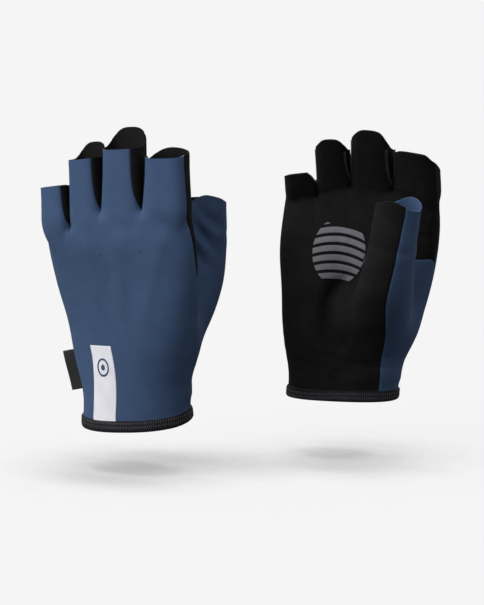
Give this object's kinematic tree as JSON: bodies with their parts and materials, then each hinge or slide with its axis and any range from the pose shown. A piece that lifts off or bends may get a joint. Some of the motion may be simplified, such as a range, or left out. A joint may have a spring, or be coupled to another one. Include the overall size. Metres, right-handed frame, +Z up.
{
  "type": "pair of short-finger gloves",
  "caption": "Short-finger stretch gloves with suede palms, pull tabs, elastic wrist binding and reflective cuff strips; fingers and thumbs bend.",
  "frame": {"origin": "middle of the left glove's wrist opening", "axes": "+Z up towards the fingertips, +X from the left glove to the right glove, -Y the side that shows the left glove's back and the right glove's palm"},
  "size_m": [0.2362, 0.1031, 0.1861],
  "materials": {
    "stretch_fabric": "matte slate-blue stretch knit",
    "palm_suede": "matte black synthetic suede",
    "side_knit": "black stretch knit",
    "elastic_binding": "black woven elastic",
    "reflective_film": "light grey reflective film",
    "grip_print": "silver-grey silicone print",
    "pad_foam": "thin soft foam",
    "label_tape": "woven label tape"
  },
  "bodies": {
    "left_hand": {"left_back_panel": "stretch_fabric", "left_care_label": "label_tape", "left_grip_print": "grip_print", "left_heel_pad": "pad_foam", "left_palm_panel": "palm_suede", "left_reflective_strip": "reflective_film", "left_wrist_binding": "elastic_binding"},
    "left_index_finger": {"left_index_back": "stretch_fabric", "left_index_fourchettes": "side_knit", "left_index_palm": "palm_suede", "left_index_side_strip": "palm_suede"},
    "left_little_finger": {"left_little_back": "stretch_fabric", "left_little_fourchettes": "side_knit", "left_little_palm": "palm_suede"},
    "left_middle_finger": {"left_middle_back": "stretch_fabric", "left_middle_fourchettes": "side_knit", "left_middle_palm": "palm_suede", "left_middle_pull_tab": "palm_suede"},
    "left_ring_finger": {"left_ring_back": "stretch_fabric", "left_ring_fourchettes": "side_knit", "left_ring_palm": "palm_suede", "left_ring_pull_tab": "palm_suede"},
    "left_label": {"left_side_label": "label_tape"},
    "left_thumb": {"left_thumb_back": "stretch_fabric", "left_thumb_palm": "palm_suede"},
    "right_hand": {"right_back_panel": "stretch_fabric", "right_care_label": "label_tape", "right_grip_print": "grip_print", "right_heel_pad": "pad_foam", "right_palm_panel": "palm_suede", "right_reflective_strip": "reflective_film", "right_wrist_binding": "elastic_binding"},
    "right_index_finger": {"right_index_back": "stretch_fabric", "right_index_fourchettes": "side_knit", "right_index_palm": "palm_suede", "right_index_side_strip": "palm_suede"},
    "right_little_finger": {"right_little_back": "stretch_fabric", "right_little_fourchettes": "side_knit", "right_little_palm": "palm_suede"},
    "right_middle_finger": {"right_middle_back": "stretch_fabric", "right_middle_fourchettes": "side_knit", "right_middle_palm": "palm_suede", "right_middle_pull_tab": "palm_suede"},
    "right_ring_finger": {"right_ring_back": "stretch_fabric", "right_ring_fourchettes": "side_knit", "right_ring_palm": "palm_suede", "right_ring_pull_tab": "palm_suede"},
    "right_thumb": {"right_thumb_back": "stretch_fabric", "right_thumb_palm": "palm_suede"}
  },
  "joints": [
    {"name": "left_little_curl", "type": "hinge", "parent": "left_hand", "child": "left_little_finger", "pos_m": [-0.04337, 0.0074, 0.11353], "axis": [-0.9166, 0.3737, -0.1421], "range_deg": [-15, 40], "stiffness_Nm_per_rad": 0.02},
    {"name": "left_ring_curl", "type": "hinge", "parent": "left_hand", "child": "left_ring_finger", "pos_m": [-0.02527, 0.00002, 0.11633], "axis": [-0.9166, 0.3737, -0.1421], "range_deg": [-15, 40], "stiffness_Nm_per_rad": 0.02},
    {"name": "left_middle_curl", "type": "hinge", "parent": "left_hand", "child": "left_middle_finger", "pos_m": [-0.00515, -0.00818, 0.11945], "axis": [-0.9166, 0.3737, -0.1421], "range_deg": [-15, 40], "stiffness_Nm_per_rad": 0.02},
    {"name": "left_index_curl", "type": "hinge", "parent": "left_hand", "child": "left_index_finger", "pos_m": [0.01746, -0.0174, 0.12296], "axis": [-0.9166, 0.3737, -0.1421], "range_deg": [-15, 40], "stiffness_Nm_per_rad": 0.02},
    {"name": "left_thumb_flex", "type": "hinge", "parent": "left_hand", "child": "left_thumb", "pos_m": [0.03193, 0.02141, 0.07574], "axis": [-0.3814, -0.9016, 0.2041], "range_deg": [-14, 14], "stiffness_Nm_per_rad": 0.03},
    {"name": "right_little_curl", "type": "hinge", "parent": "right_hand", "child": "right_little_finger", "pos_m": [0.1014, 0.04556, 0.12832], "axis": [0.9647, -0.2629, -0.0181], "range_deg": [-27, 23], "stiffness_Nm_per_rad": 0.02},
    {"name": "right_ring_curl", "type": "hinge", "parent": "right_hand", "child": "right_ring_finger", "pos_m": [0.12045, 0.04037, 0.12796], "axis": [0.9647, -0.2629, -0.0181], "range_deg": [-23, 27], "stiffness_Nm_per_rad": 0.02},
    {"name": "right_middle_curl", "type": "hinge", "parent": "right_hand", "child": "right_middle_finger", "pos_m": [0.14163, 0.0346, 0.12756], "axis": [0.9647, -0.2629, -0.0181], "range_deg": [-21, 29], "stiffness_Nm_per_rad": 0.02},
    {"name": "right_index_curl", "type": "hinge", "parent": "right_hand", "child": "right_index_finger", "pos_m": [0.16541, 0.02811, 0.12712], "axis": [0.9647, -0.2629, -0.0181], "range_deg": [-20, 30], "stiffness_Nm_per_rad": 0.02},
    {"name": "right_thumb_flex", "type": "hinge", "parent": "right_hand", "child": "right_thumb", "pos_m": [0.1471, -0.00543, 0.07727], "axis": [-0.2724, -0.918, -0.288], "range_deg": [-14, 14], "stiffness_Nm_per_rad": 0.03},
    {"name": "left_label_flap", "type": "hinge", "parent": "left_hand", "child": "left_label", "pos_m": [-0.03134, 0.01514, 0.02261], "axis": [-0.2147, 0.0555, 0.9751], "range_deg": [-60, 60], "stiffness_Nm_per_rad": 0.002},
    {"name": "right_hand_apart", "type": "slide", "parent": "left_hand", "child": "right_hand", "axis": [1, 0, 0], "range_m": [0, 0.15]}
  ]
}
